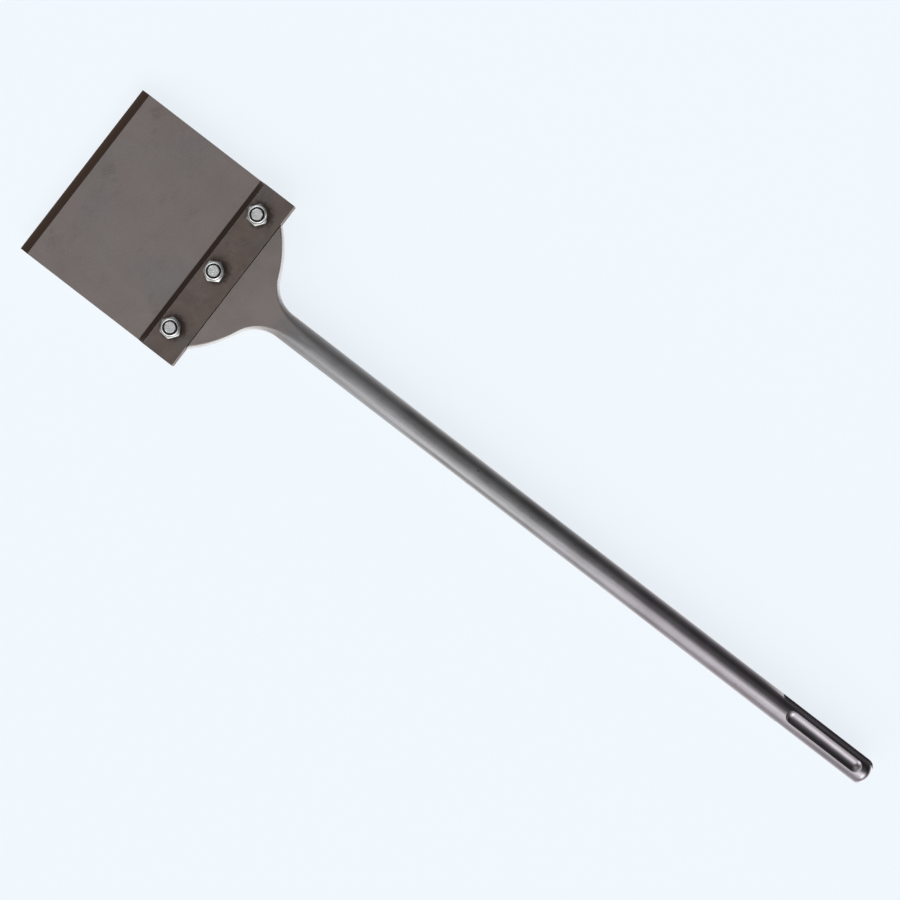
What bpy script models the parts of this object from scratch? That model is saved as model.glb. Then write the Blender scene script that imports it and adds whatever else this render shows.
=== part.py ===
"""Floor scraper chisel: a forged, slotted hammer shank with a bolted-on wide blade.

Metres. The tool lies flat with its nuts up, +Z. The origin is the centre of the struck
end face of the shank, and the tool runs from it along -X to the cutting edge.
"""
from math import cos, pi, radians, sin, sqrt, tan

import bmesh
import bpy
from mathutils import Matrix

# Driving sizes -----------------------------------------------------------------------
OVERALL_LENGTH = 0.6445         # cutting edge to struck end
TOUCHING_GAP = 0.0003           # left between faces that bear on each other

STOCK_DIAMETER = 0.018          # rod and shank are one round bar
END_FACE_RADIUS = 0.0046        # flat centre of the struck end
END_TAPER_LENGTH = 0.0051       # crowned taper round that flat

LOCK_GROOVE_LENGTH = 0.0601     # the two closed grooves, one up and one down
LOCK_GROOVE_WIDTH = 0.0085
LOCK_GROOVE_DEPTH = 0.0028
LOCK_GROOVE_SETBACK = 0.0072    # struck end to the groove's near end

DRIVE_SLOT_DEPTH = 0.0022       # the three slots that run out of the struck end
SINGLE_SLOT_WIDTH = 0.0049
SINGLE_SLOT_LENGTH = 0.0687
PAIRED_SLOT_WIDTH = 0.0049
PAIRED_SLOT_LENGTH = 0.0755
PAIRED_SLOT_ANGLE = radians(27) # each side of +Y

HEAD_THICKNESS = 0.0144
HEAD_EDGE_RADIUS = 0.0016
SHOULDER_HALF_WIDTH = 0.0502    # half width of the head where the blade butts on it
SHOULDER_ANGLE = radians(43)    # slope of the outline there
FLANK_ANGLE = radians(66)       # steepest slope of the outline
NECK_RADIUS = 0.0237            # hollow of the outline, down to the rod
NECK_BLEND_START = 0.019        # behind the shoulder: the flat head starts to round
NECK_BLEND_END = 0.055          # behind the shoulder: the section is the round rod
TONGUE_OVERHANG = 0.0027        # tongue runs this far ahead of the clamp plate
TONGUE_SIDE_INSET = 0.0008      # tongue is this much narrower than the blade, each side
NOSE_LENGTH = 0.0064            # slope under the tongue's front edge
NOSE_THICKNESS = 0.0021         # left of the tongue at its front edge

BLADE_WIDTH = 0.1301
BLADE_LENGTH = 0.1258
BLADE_THICKNESS = 0.0030
CUTTING_BEVEL = 0.0062
CUTTING_LAND = 0.0003

CLAMP_DEPTH = 0.0280
CLAMP_THICKNESS = 0.0050
CLAMP_BEVEL = 0.0042            # same run and drop along the front edge
CLAMP_FRONT_LAND = 0.0007
CLAMP_SET_DOWN = 0.0003         # clamp top lies this far under the head's top
CLAMP_REAR_GAP = 0.0006

BOLT_PITCH = 0.0458
BOLT_SETBACK = 0.0153           # shoulder to the line of bolts
BOLT_DIAMETER = 0.0080
BOLT_HOLE_CLEARANCE = 0.0005    # on the radius
BOLT_HEAD_HEIGHT = 0.0053
BOLT_PROTRUSION = 0.0006        # bolt end above the nut
BOLT_END_CHAMFER = 0.0007

NUT_HEX_HEIGHT = 0.0058
NUT_HEIGHT = 0.0080             # with the crimped collar
NUT_COLLAR_WALL = 0.0005
NUT_COLLAR_STEP = 0.0008        # collar's side to the flats of the hexagon
COLLAR_CROWN = 0.0005           # crimped edge of the collar
NUT_LIP_CLEARANCE = 0.00065     # lip to bolt, on the radius
NUT_LIP_THICKNESS = 0.0005
INSERT_HEIGHT = 0.0016
INSERT_WALL = 0.0006

# A corner of each nut points this way round the bolt, from +X
NUT_CORNERS = {"left": radians(-6), "middle": radians(-28), "right": radians(-6)}
BOLT_PLACES = {"left": -BOLT_PITCH, "middle": 0.0, "right": BOLT_PITCH}

# Steps of the round stretches
SECTION_CORNER_STEPS = 9
OUTLINE_STEPS = 7
TURNED_STEPS = 32

# Derived places ----------------------------------------------------------------------
ROD_RADIUS = STOCK_DIAMETER / 2
CUTTING_EDGE_X = -OVERALL_LENGTH
BLADE_REAR_X = CUTTING_EDGE_X + BLADE_LENGTH
SHOULDER_X = BLADE_REAR_X + TOUCHING_GAP
CLAMP_REAR_X = SHOULDER_X - CLAMP_REAR_GAP
CLAMP_FRONT_X = CLAMP_REAR_X - CLAMP_DEPTH
TONGUE_FRONT_X = CLAMP_FRONT_X - TONGUE_OVERHANG
TONGUE_HALF_WIDTH = BLADE_WIDTH / 2 - TONGUE_SIDE_INSET
BOLT_X = SHOULDER_X - BOLT_SETBACK

HEAD_TOP = HEAD_THICKNESS / 2
HEAD_BOTTOM = -HEAD_THICKNESS / 2
CLAMP_TOP = HEAD_TOP - CLAMP_SET_DOWN
CLAMP_BOTTOM = CLAMP_TOP - CLAMP_THICKNESS
BLADE_TOP = CLAMP_BOTTOM - TOUCHING_GAP
BLADE_BOTTOM = BLADE_TOP - BLADE_THICKNESS
TONGUE_TOP = BLADE_BOTTOM - TOUCHING_GAP
BOLT_HEAD_TOP = HEAD_BOTTOM - TOUCHING_GAP
NUT_SEAT = CLAMP_TOP + TOUCHING_GAP
BOLT_END = NUT_SEAT + NUT_HEIGHT + BOLT_PROTRUSION
BOLT_HOLE_RADIUS = BOLT_DIAMETER / 2 + BOLT_HOLE_CLEARANCE

NOSE_HEIGHT = TONGUE_TOP - HEAD_BOTTOM - NOSE_THICKNESS

NUT_BORE_RADIUS = BOLT_DIAMETER / 2 + TOUCHING_GAP
INSERT_RADIUS = NUT_BORE_RADIUS + INSERT_WALL
COLLAR_CAVITY_RADIUS = INSERT_RADIUS + TOUCHING_GAP
COLLAR_RADIUS = COLLAR_CAVITY_RADIUS + NUT_COLLAR_WALL
NUT_LIP_RADIUS = BOLT_DIAMETER / 2 + NUT_LIP_CLEARANCE
HEX_FLATS = 2 * (COLLAR_RADIUS + NUT_COLLAR_STEP)
HEX_RADIUS = HEX_FLATS / 2 / cos(pi / 6)
INSERT_TOP = NUT_HEIGHT - NUT_LIP_THICKNESS - TOUCHING_GAP
INSERT_BOTTOM = INSERT_TOP - INSERT_HEIGHT
CAVITY_BOTTOM = INSERT_BOTTOM - TOUCHING_GAP

CUT_PAST = 0.002                # cutters reach this far past what they cut
SHARP_ANGLE = radians(25)       # edges folded more than this are shaded sharp


# Scene -------------------------------------------------------------------------------
def clear_scene():
    for item in list(bpy.data.objects):
        bpy.data.objects.remove(item, do_unlink=True)


def new_collection(name):
    collection = bpy.data.collections.new(name)
    bpy.context.scene.collection.children.link(collection)
    return collection


def new_material(name, colour, metallic, roughness):
    material = bpy.data.materials.new(name)
    material.use_nodes = True
    shader = material.node_tree.nodes["Principled BSDF"]
    shader.inputs["Base Color"].default_value = (*colour, 1.0)
    shader.inputs["Metallic"].default_value = metallic
    shader.inputs["Roughness"].default_value = roughness
    return material


def object_from_bmesh(name, shape, collection):
    mesh = bpy.data.meshes.new(name)
    shape.to_mesh(mesh)
    shape.free()
    item = bpy.data.objects.new(name, mesh)
    collection.objects.link(item)
    return item


def as_cutter(item):
    item.hide_render = True
    item.display_type = "WIRE"
    return item


def add_boolean(target, tool, operation):
    modifier = target.modifiers.new(f"{operation.lower()} {tool.name}", "BOOLEAN")
    modifier.operation = operation
    modifier.solver = "EXACT"
    modifier.object = tool


def evaluated_copy(item, name, collection):
    """The shape of item with its modifiers worked in, as a new mesh object."""
    bpy.context.view_layer.update()
    graph = bpy.context.evaluated_depsgraph_get()
    mesh = bpy.data.meshes.new_from_object(item.evaluated_get(graph))
    mesh.name = name
    copy = bpy.data.objects.new(name, mesh)
    copy.matrix_world = item.matrix_world
    collection.objects.link(copy)
    return copy


def finished(item, collection, material):
    """The cut shape as a plain mesh in one material, smooth except across its edges."""
    name = item.name
    item.name = f"{name} uncut"
    done = evaluated_copy(item, name, collection)
    bpy.data.objects.remove(item, do_unlink=True)
    done.data.materials.clear()
    done.data.materials.append(material)
    done.data.shade_smooth()
    done.data.set_sharp_from_angle(angle=SHARP_ANGLE)
    return done


# Shapes ------------------------------------------------------------------------------
def box(name, low, high, collection):
    """A block between two opposite corners."""
    shape = bmesh.new()
    size = [top - bottom for bottom, top in zip(low, high)]
    middle = [(top + bottom) / 2 for bottom, top in zip(low, high)]
    place = Matrix.Translation(middle) @ Matrix.Diagonal((*size, 1.0))
    bmesh.ops.create_cube(shape, size=1.0, matrix=place)
    return object_from_bmesh(name, shape, collection)


def upright_prism(name, sides, radius, bottom, top, collection):
    """A prism or cylinder standing on Z, from bottom to top."""
    shape = bmesh.new()
    bmesh.ops.create_cone(
        shape, cap_ends=True, segments=sides, radius1=radius, radius2=radius,
        depth=top - bottom, matrix=Matrix.Translation((0, 0, (top + bottom) / 2)))
    return object_from_bmesh(name, shape, collection)


def turned(name, profile, collection):
    """A closed turned shape from (radius, height) points, listed from top to bottom."""
    mesh = bpy.data.meshes.new(name)
    points = [(radius, 0.0, height) for radius, height in profile]
    edges = [(at, at + 1) for at in range(len(points) - 1)]
    mesh.from_pydata(points, edges, [])
    item = bpy.data.objects.new(name, mesh)
    collection.objects.link(item)
    screw = item.modifiers.new("turn", "SCREW")
    screw.steps = TURNED_STEPS
    screw.render_steps = TURNED_STEPS
    screw.use_merge_vertices = True
    screw.merge_threshold = 0.00001
    return item


def side_profile_plate(name, outline, width, collection):
    """A plate whose outline is drawn in X and Z and drawn out evenly along Y."""
    curve = bpy.data.curves.new(name, "CURVE")
    curve.dimensions = "2D"
    curve.fill_mode = "BOTH"
    curve.extrude = width / 2
    spline = curve.splines.new("POLY")
    spline.points.add(len(outline) - 1)
    for point, (x, z) in zip(spline.points, outline):
        point.co = (x, z, 0.0, 1.0)
    spline.use_cyclic_u = True
    drawn = bpy.data.objects.new(name, curve)
    drawn.rotation_euler = (pi / 2, 0.0, 0.0)
    collection.objects.link(drawn)

    plate = evaluated_copy(drawn, name, collection)
    bpy.data.objects.remove(drawn, do_unlink=True)
    shape = bmesh.new()
    shape.from_mesh(plate.data)
    bmesh.ops.remove_doubles(shape, verts=shape.verts, dist=0.00001)
    bmesh.ops.recalc_face_normals(shape, faces=shape.faces)
    shape.to_mesh(plate.data)
    shape.free()
    plate.name = name
    return plate


# Chisel body -------------------------------------------------------------------------
def smooth_step(value, start, end):
    share = min(max((value - start) / (end - start), 0.0), 1.0)
    return share * share * (3 - 2 * share)


class HeadOutline:
    """Half width of the head: a bulging arc, then a hollow arc that runs into the rod."""

    def __init__(self):
        self.flank_y = ROD_RADIUS + NECK_RADIUS * (1 - cos(FLANK_ANGLE))
        rise = SHOULDER_HALF_WIDTH - self.flank_y
        chord_angle = (FLANK_ANGLE + SHOULDER_ANGLE) / 2
        self.flank = rise / tan(chord_angle)
        chord = rise / sin(chord_angle)
        self.bulge = chord / (2 * sin((FLANK_ANGLE - SHOULDER_ANGLE) / 2))
        self.bulge_x = self.flank - self.bulge * sin(FLANK_ANGLE)
        self.bulge_y = self.flank_y - self.bulge * cos(FLANK_ANGLE)
        self.neck = self.flank + NECK_RADIUS * sin(FLANK_ANGLE)

    def half_width(self, behind):
        """behind is the distance behind the shoulder, negative ahead of it."""
        if behind >= self.neck:
            return ROD_RADIUS
        if behind >= self.flank:
            run = self.neck - behind
            return ROD_RADIUS + NECK_RADIUS - sqrt(NECK_RADIUS ** 2 - run ** 2)
        run = behind - self.bulge_x
        if run <= 0:
            return TONGUE_HALF_WIDTH
        return min(TONGUE_HALF_WIDTH, self.bulge_y + sqrt(self.bulge ** 2 - run ** 2))

    def full_width_at(self):
        """Where ahead of the shoulder the outline reaches the tongue's full width."""
        rise = min(TONGUE_HALF_WIDTH - self.bulge_y, self.bulge)
        return self.bulge_x + sqrt(self.bulge ** 2 - rise ** 2)

    def stations(self):
        """Distances behind the shoulder at which the head gets a section."""
        front = TONGUE_FRONT_X - SHOULDER_X
        full = max(self.full_width_at(), front + TOUCHING_GAP)
        places = [front]
        places += [full + (self.flank - full) * at / OUTLINE_STEPS
                   for at in range(OUTLINE_STEPS)]
        places += [self.neck - NECK_RADIUS * sin(FLANK_ANGLE * (1 - at / OUTLINE_STEPS))
                   for at in range(OUTLINE_STEPS + 1)]
        places += [self.neck + (NECK_BLEND_END - self.neck) * at / OUTLINE_STEPS
                   for at in range(1, OUTLINE_STEPS + 1)]
        return places


def rounded_section(x, half_width, half_height, corner):
    """Rounded rectangle across the tool; a circle where all three sizes are the same."""
    points = []
    for quarter, (side, up) in enumerate(((1, 1), (-1, 1), (-1, -1), (1, -1))):
        for step in range(SECTION_CORNER_STEPS + 1):
            angle = (quarter + step / SECTION_CORNER_STEPS) * pi / 2
            points.append((x,
                           side * (half_width - corner) + corner * cos(angle),
                           up * (half_height - corner) + corner * sin(angle)))
    return points


def chisel_blank(collection):
    """Rod, neck and flat head as one loft, before any machining."""
    outline = HeadOutline()
    sections = []
    for behind in outline.stations():
        blend = smooth_step(behind, NECK_BLEND_START, NECK_BLEND_END)
        half_height = HEAD_TOP + (ROD_RADIUS - HEAD_TOP) * blend
        corner = HEAD_EDGE_RADIUS + (ROD_RADIUS - HEAD_EDGE_RADIUS) * blend
        half_width = outline.half_width(behind)
        corner = min(corner, half_width, half_height)
        sections.append(rounded_section(SHOULDER_X + behind, half_width, half_height, corner))
    for x, radius in ((-END_TAPER_LENGTH, ROD_RADIUS),
                      (-END_TAPER_LENGTH * 0.42, (ROD_RADIUS * 2 + END_FACE_RADIUS) / 3),
                      (0.0, END_FACE_RADIUS)):
        sections.append(rounded_section(x, radius, radius, radius))

    shape = bmesh.new()
    rings = [[shape.verts.new(point) for point in section] for section in sections]
    count = len(rings[0])
    for ring, following in zip(rings, rings[1:]):
        for at in range(count):
            after = (at + 1) % count
            shape.faces.new((ring[at], ring[after], following[after], following[at]))
    shape.faces.new(list(reversed(rings[0])))
    shape.faces.new(rings[-1])
    bmesh.ops.remove_doubles(shape, verts=shape.verts, dist=0.000001)
    bmesh.ops.recalc_face_normals(shape, faces=shape.faces)
    return object_from_bmesh("chisel_body", shape, collection)


def nose_cutter(collection):
    """Wedge that slopes the underside of the tongue's front edge."""
    below = HEAD_BOTTOM - CUT_PAST
    slope = NOSE_HEIGHT / NOSE_LENGTH
    outline = [(TONGUE_FRONT_X - CUT_PAST, HEAD_BOTTOM + NOSE_HEIGHT + slope * CUT_PAST),
               (TONGUE_FRONT_X - CUT_PAST, below),
               (TONGUE_FRONT_X + NOSE_LENGTH + CUT_PAST / slope, below)]
    return side_profile_plate("nose_cutter", outline, BLADE_WIDTH + CUT_PAST, collection)


def lock_groove_cutter(side, collection):
    """Round-bottomed trough with ball ends; its axis lies outside the rod."""
    half = LOCK_GROOVE_WIDTH / 2
    sag = LOCK_GROOVE_DEPTH - ROD_RADIUS + sqrt(ROD_RADIUS ** 2 - half ** 2)
    radius = (half ** 2 + sag ** 2) / (2 * sag)
    end_reach = sqrt(radius ** 2 - (radius - LOCK_GROOVE_DEPTH) ** 2)
    near = -LOCK_GROOVE_SETBACK - end_reach
    far = -LOCK_GROOVE_SETBACK - LOCK_GROOVE_LENGTH + end_reach
    quarter = [pi / 2 * at / OUTLINE_STEPS for at in range(OUTLINE_STEPS + 1)]
    profile = [(radius * sin(angle), near + radius * cos(angle)) for angle in quarter]
    profile += [(radius * cos(angle), far - radius * sin(angle)) for angle in quarter]
    name = "upper_groove_cutter" if side > 0 else "lower_groove_cutter"
    cutter = turned(name, profile, collection)
    cutter.rotation_euler = (0.0, pi / 2, 0.0)
    cutter.location = (0.0, 0.0, side * (ROD_RADIUS - LOCK_GROOVE_DEPTH + radius))
    return cutter


def drive_slot_cutter(name, width, length, angle, collection):
    """Straight slot open at the struck end, at an angle up from +Y."""
    cutter = box(name, (-length, ROD_RADIUS - DRIVE_SLOT_DEPTH, -width / 2),
                 (CUT_PAST, ROD_RADIUS + CUT_PAST, width / 2), collection)
    cutter.rotation_euler = (angle, 0.0, 0.0)
    return cutter


def make_chisel_body(parts, cutters):
    body = chisel_blank(parts)
    recess = box("recess_cutter",
                 (TONGUE_FRONT_X - CUT_PAST, -BLADE_WIDTH, TONGUE_TOP),
                 (SHOULDER_X, BLADE_WIDTH, HEAD_TOP + CUT_PAST), cutters)
    tools = [recess, nose_cutter(cutters)]
    for place, y in BOLT_PLACES.items():
        hole = upright_prism(f"{place}_bolt_hole_cutter", TURNED_STEPS, BOLT_HOLE_RADIUS,
                             HEAD_BOTTOM - CUT_PAST, HEAD_TOP, cutters)
        hole.location = (BOLT_X, y, 0.0)
        tools.append(hole)
    tools += [lock_groove_cutter(1, cutters), lock_groove_cutter(-1, cutters)]
    tools.append(drive_slot_cutter("single_slot_cutter", SINGLE_SLOT_WIDTH,
                                   SINGLE_SLOT_LENGTH, pi, cutters))
    tools.append(drive_slot_cutter("upper_slot_cutter", PAIRED_SLOT_WIDTH,
                                   PAIRED_SLOT_LENGTH, PAIRED_SLOT_ANGLE, cutters))
    tools.append(drive_slot_cutter("lower_slot_cutter", PAIRED_SLOT_WIDTH,
                                   PAIRED_SLOT_LENGTH, -PAIRED_SLOT_ANGLE, cutters))
    for tool in tools:
        add_boolean(body, as_cutter(tool), "DIFFERENCE")
    return finished(body, parts, new_material("forged steel", (0.17, 0.15, 0.145), 1.0, 0.45))


# Blade and clamp plate ---------------------------------------------------------------
def make_blade(parts, cutters):
    """Flat blade, ground on top to its cutting edge, with slots open at the rear."""
    outline = [(CUTTING_EDGE_X, BLADE_BOTTOM),
               (BLADE_REAR_X, BLADE_BOTTOM),
               (BLADE_REAR_X, BLADE_TOP),
               (CUTTING_EDGE_X + CUTTING_BEVEL, BLADE_TOP),
               (CUTTING_EDGE_X, BLADE_BOTTOM + CUTTING_LAND)]
    blade = side_profile_plate("scraper_blade", outline, BLADE_WIDTH, parts)
    for place, y in BOLT_PLACES.items():
        round_end = upright_prism(f"{place}_slot_end_cutter", TURNED_STEPS, BOLT_HOLE_RADIUS,
                                  BLADE_BOTTOM - CUT_PAST, BLADE_TOP + CUT_PAST, cutters)
        round_end.location = (BOLT_X, y, 0.0)
        straight = box(f"{place}_slot_cutter",
                       (BOLT_X, y - BOLT_HOLE_RADIUS * 0.999, BLADE_BOTTOM - CUT_PAST),
                       (BLADE_REAR_X + CUT_PAST, y + BOLT_HOLE_RADIUS * 0.999,
                        BLADE_TOP + CUT_PAST), cutters)
        for tool in (round_end, straight):
            add_boolean(blade, as_cutter(tool), "DIFFERENCE")
    return finished(blade, parts, new_material("blade steel", (0.18, 0.15, 0.145), 1.0, 0.5))


def make_clamp_plate(parts, cutters):
    """Plate across the blade with a sloped front edge and three round bolt holes."""
    outline = [(CLAMP_FRONT_X, CLAMP_BOTTOM),
               (CLAMP_REAR_X, CLAMP_BOTTOM),
               (CLAMP_REAR_X, CLAMP_TOP),
               (CLAMP_FRONT_X + CLAMP_BEVEL, CLAMP_TOP),
               (CLAMP_FRONT_X, CLAMP_BOTTOM + CLAMP_FRONT_LAND)]
    plate = side_profile_plate("clamp_plate", outline, BLADE_WIDTH, parts)
    for place, y in BOLT_PLACES.items():
        hole = upright_prism(f"{place}_clamp_hole_cutter", TURNED_STEPS, BOLT_HOLE_RADIUS,
                             CLAMP_BOTTOM - CUT_PAST, CLAMP_TOP + CUT_PAST, cutters)
        hole.location = (BOLT_X, y, 0.0)
        add_boolean(plate, as_cutter(hole), "DIFFERENCE")
    return finished(plate, parts, new_material("oxidised steel", (0.10, 0.08, 0.075), 1.0, 0.5))


# Bolts, nuts and inserts -------------------------------------------------------------
def placed_copies(prefix, shape, collection):
    """One object for each bolt place, all on the same mesh; the pattern is removed."""
    copies = {}
    for place, y in BOLT_PLACES.items():
        copy = bpy.data.objects.new(f"{prefix}_{place}", shape.data)
        copy.location = (BOLT_X, y, 0.0)
        collection.objects.link(copy)
        copies[place] = copy
    bpy.data.objects.remove(shape, do_unlink=True)
    return copies


def make_bolts(parts, cutters, material):
    """Hex bolts put in from below; the shape is made once, on its own axis."""
    head = upright_prism("bolt_pattern", 6, HEX_RADIUS,
                         BOLT_HEAD_TOP - BOLT_HEAD_HEIGHT, BOLT_HEAD_TOP, cutters)
    radius = BOLT_DIAMETER / 2
    foot = BOLT_HEAD_TOP - BOLT_HEAD_HEIGHT / 2
    shank = turned("bolt_shank", [(0.0, BOLT_END), (radius - BOLT_END_CHAMFER, BOLT_END),
                                  (radius, BOLT_END - BOLT_END_CHAMFER),
                                  (radius, foot), (0.0, foot)], cutters)
    add_boolean(head, as_cutter(shank), "UNION")
    placed_copies("bolt", finished(head, cutters, material), parts)


def make_nuts(parts, cutters, plate, material):
    """Lock nuts with a crimped round collar; the shape is made once, seat at zero."""
    block = upright_prism("nut_pattern", 6, HEX_RADIUS, 0.0, NUT_HEX_HEIGHT, cutters)
    foot = NUT_HEX_HEIGHT / 2
    collar = turned("nut_collar", [(0.0, NUT_HEIGHT),
                                   (COLLAR_RADIUS - COLLAR_CROWN, NUT_HEIGHT),
                                   (COLLAR_RADIUS, NUT_HEIGHT - COLLAR_CROWN),
                                   (COLLAR_RADIUS, foot), (0.0, foot)], cutters)
    lip_bottom = NUT_HEIGHT - NUT_LIP_THICKNESS
    bore = turned("nut_bore", [(0.0, NUT_HEIGHT + CUT_PAST),
                               (NUT_LIP_RADIUS, NUT_HEIGHT + CUT_PAST),
                               (NUT_LIP_RADIUS, lip_bottom),
                               (COLLAR_CAVITY_RADIUS, lip_bottom),
                               (COLLAR_CAVITY_RADIUS, CAVITY_BOTTOM),
                               (NUT_BORE_RADIUS, CAVITY_BOTTOM),
                               (NUT_BORE_RADIUS, -CUT_PAST), (0.0, -CUT_PAST)], cutters)
    add_boolean(block, as_cutter(collar), "UNION")
    add_boolean(block, as_cutter(bore), "DIFFERENCE")
    nuts = placed_copies("lock_nut", finished(block, cutters, material), parts)
    for place, nut in nuts.items():
        nut.location.z = NUT_SEAT
        nut.rotation_euler = (0.0, 0.0, NUT_CORNERS[place] - pi / 6)
        nut.parent = plate
        nut.matrix_parent_inverse = plate.matrix_world.inverted()
    return nuts


def make_inserts(parts, cutters, nuts):
    """Nylon ring held under the lip of each nut's collar."""
    ring = turned("insert_pattern", [(NUT_BORE_RADIUS, INSERT_BOTTOM),
                                     (NUT_BORE_RADIUS, INSERT_TOP),
                                     (INSERT_RADIUS, INSERT_TOP),
                                     (INSERT_RADIUS, INSERT_BOTTOM),
                                     (NUT_BORE_RADIUS, INSERT_BOTTOM)], cutters)
    nylon = new_material("nylon", (0.05, 0.05, 0.055), 0.0, 0.45)
    inserts = placed_copies("nylon_insert", finished(ring, cutters, nylon), parts)
    for place, insert in inserts.items():
        insert.location = (0.0, 0.0, 0.0)
        insert.parent = nuts[place]


def main():
    clear_scene()
    parts = new_collection("floor_scraper_chisel")
    cutters = new_collection("cutters")
    zinc = new_material("zinc plated steel", (0.62, 0.63, 0.64), 1.0, 0.3)
    make_chisel_body(parts, cutters)
    make_blade(parts, cutters)
    plate = make_clamp_plate(parts, cutters)
    make_bolts(parts, cutters, zinc)
    nuts = make_nuts(parts, cutters, plate, zinc)
    make_inserts(parts, cutters, nuts)


main()
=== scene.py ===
"""Looks for a floor scraper chisel: forged body, satin blade, dark clamp plate, zinc hardware.

Metres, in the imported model's frame: the struck end of the shank is at the origin, the blade
lies towards -X and the nuts face up, +Z.
"""
from math import cos, floor, pi, radians, sin, sqrt, tan

import bmesh
import bpy
from bpy.props import FloatProperty, FloatVectorProperty, PointerProperty
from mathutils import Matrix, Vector


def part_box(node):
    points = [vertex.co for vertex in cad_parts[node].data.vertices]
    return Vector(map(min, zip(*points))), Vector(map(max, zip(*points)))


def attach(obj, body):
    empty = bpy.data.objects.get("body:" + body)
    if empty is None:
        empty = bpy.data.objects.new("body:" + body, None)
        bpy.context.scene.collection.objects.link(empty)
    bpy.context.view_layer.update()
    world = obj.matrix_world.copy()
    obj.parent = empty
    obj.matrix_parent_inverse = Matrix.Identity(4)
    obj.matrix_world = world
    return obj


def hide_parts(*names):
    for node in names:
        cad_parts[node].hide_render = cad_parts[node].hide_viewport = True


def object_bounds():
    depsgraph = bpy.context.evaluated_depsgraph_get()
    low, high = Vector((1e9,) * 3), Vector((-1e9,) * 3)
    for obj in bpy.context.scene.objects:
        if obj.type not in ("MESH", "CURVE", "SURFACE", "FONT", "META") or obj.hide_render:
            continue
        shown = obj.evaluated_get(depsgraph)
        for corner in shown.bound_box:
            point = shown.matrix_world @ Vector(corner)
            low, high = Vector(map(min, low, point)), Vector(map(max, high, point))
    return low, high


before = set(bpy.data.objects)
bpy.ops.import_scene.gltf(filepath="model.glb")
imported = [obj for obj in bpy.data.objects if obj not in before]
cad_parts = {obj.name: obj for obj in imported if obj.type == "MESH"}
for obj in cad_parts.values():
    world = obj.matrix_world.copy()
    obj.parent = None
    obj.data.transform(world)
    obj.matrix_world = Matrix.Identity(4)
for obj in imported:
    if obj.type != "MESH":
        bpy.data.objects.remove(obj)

bl_info = {
    "name": "Floor Scraper Chisel",
    "version": (1, 0, 0),
    "blender": (4, 5, 0),
    "location": "View3D > Sidebar > Scraper",
    "description": "Models and finishes a floor scraper chisel round its packed frame",
    "category": "Object",
}

CAD_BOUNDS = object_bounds()

# Places and sizes read from the frame
BODY_LOW, BODY_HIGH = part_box("chisel_body")
BLADE_LOW, BLADE_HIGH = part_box("scraper_blade")
CLAMP_LOW, CLAMP_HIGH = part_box("clamp_plate")
NUT_LOW, NUT_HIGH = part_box("lock_nut_middle")
BOLT_LOW, BOLT_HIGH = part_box("bolt_middle")
RING_LOW, RING_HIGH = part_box("nylon_insert_middle")
SIDES = ("left", "middle", "right")

FACE_GAP = 0.0003                       # between faces that bear on each other
ROD_RADIUS = BODY_HIGH.z
SHOULDER_X = BLADE_HIGH.x + FACE_GAP
HEAD_TOP = CLAMP_HIGH.z + FACE_GAP
TONGUE_TOP = BLADE_LOW.z - FACE_GAP
HEX_FLATS = BOLT_HIGH.x - BOLT_LOW.x
HEX_RADIUS = HEX_FLATS / 2 / cos(pi / 6)
BOLT_RADIUS = 0.004
BEARING_RADIUS = HEX_FLATS / 2 - 0.0003 # flat ring inside a hexagon's turned-off corners
FLOOR_Z = CAD_BOUNDS[0][2]
NUT_TURNS = {"left": radians(-6), "middle": radians(-28), "right": radians(-6)}
HEX_CORNER = pi / 6                     # where a new six-sided cylinder has a corner
REACH = 0.002                           # cutters run this far past what they cut


def linear(hex_colour):
    """An sRGB hex colour as linear red, green and blue."""
    channels = [int(hex_colour[at:at + 2], 16) / 255 for at in (1, 3, 5)]
    return tuple(c / 12.92 if c <= 0.04045 else ((c + 0.055) / 1.055) ** 2.4 for c in channels)


def length(name, description, default):
    return FloatProperty(name=name, description=description, default=default, min=0.0,
                         unit="LENGTH", precision=5)


def colour(name, description, hex_colour):
    return FloatVectorProperty(name=name, description=description, subtype="COLOR", size=3,
                               min=0.0, max=1.0, default=linear(hex_colour))


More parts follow.
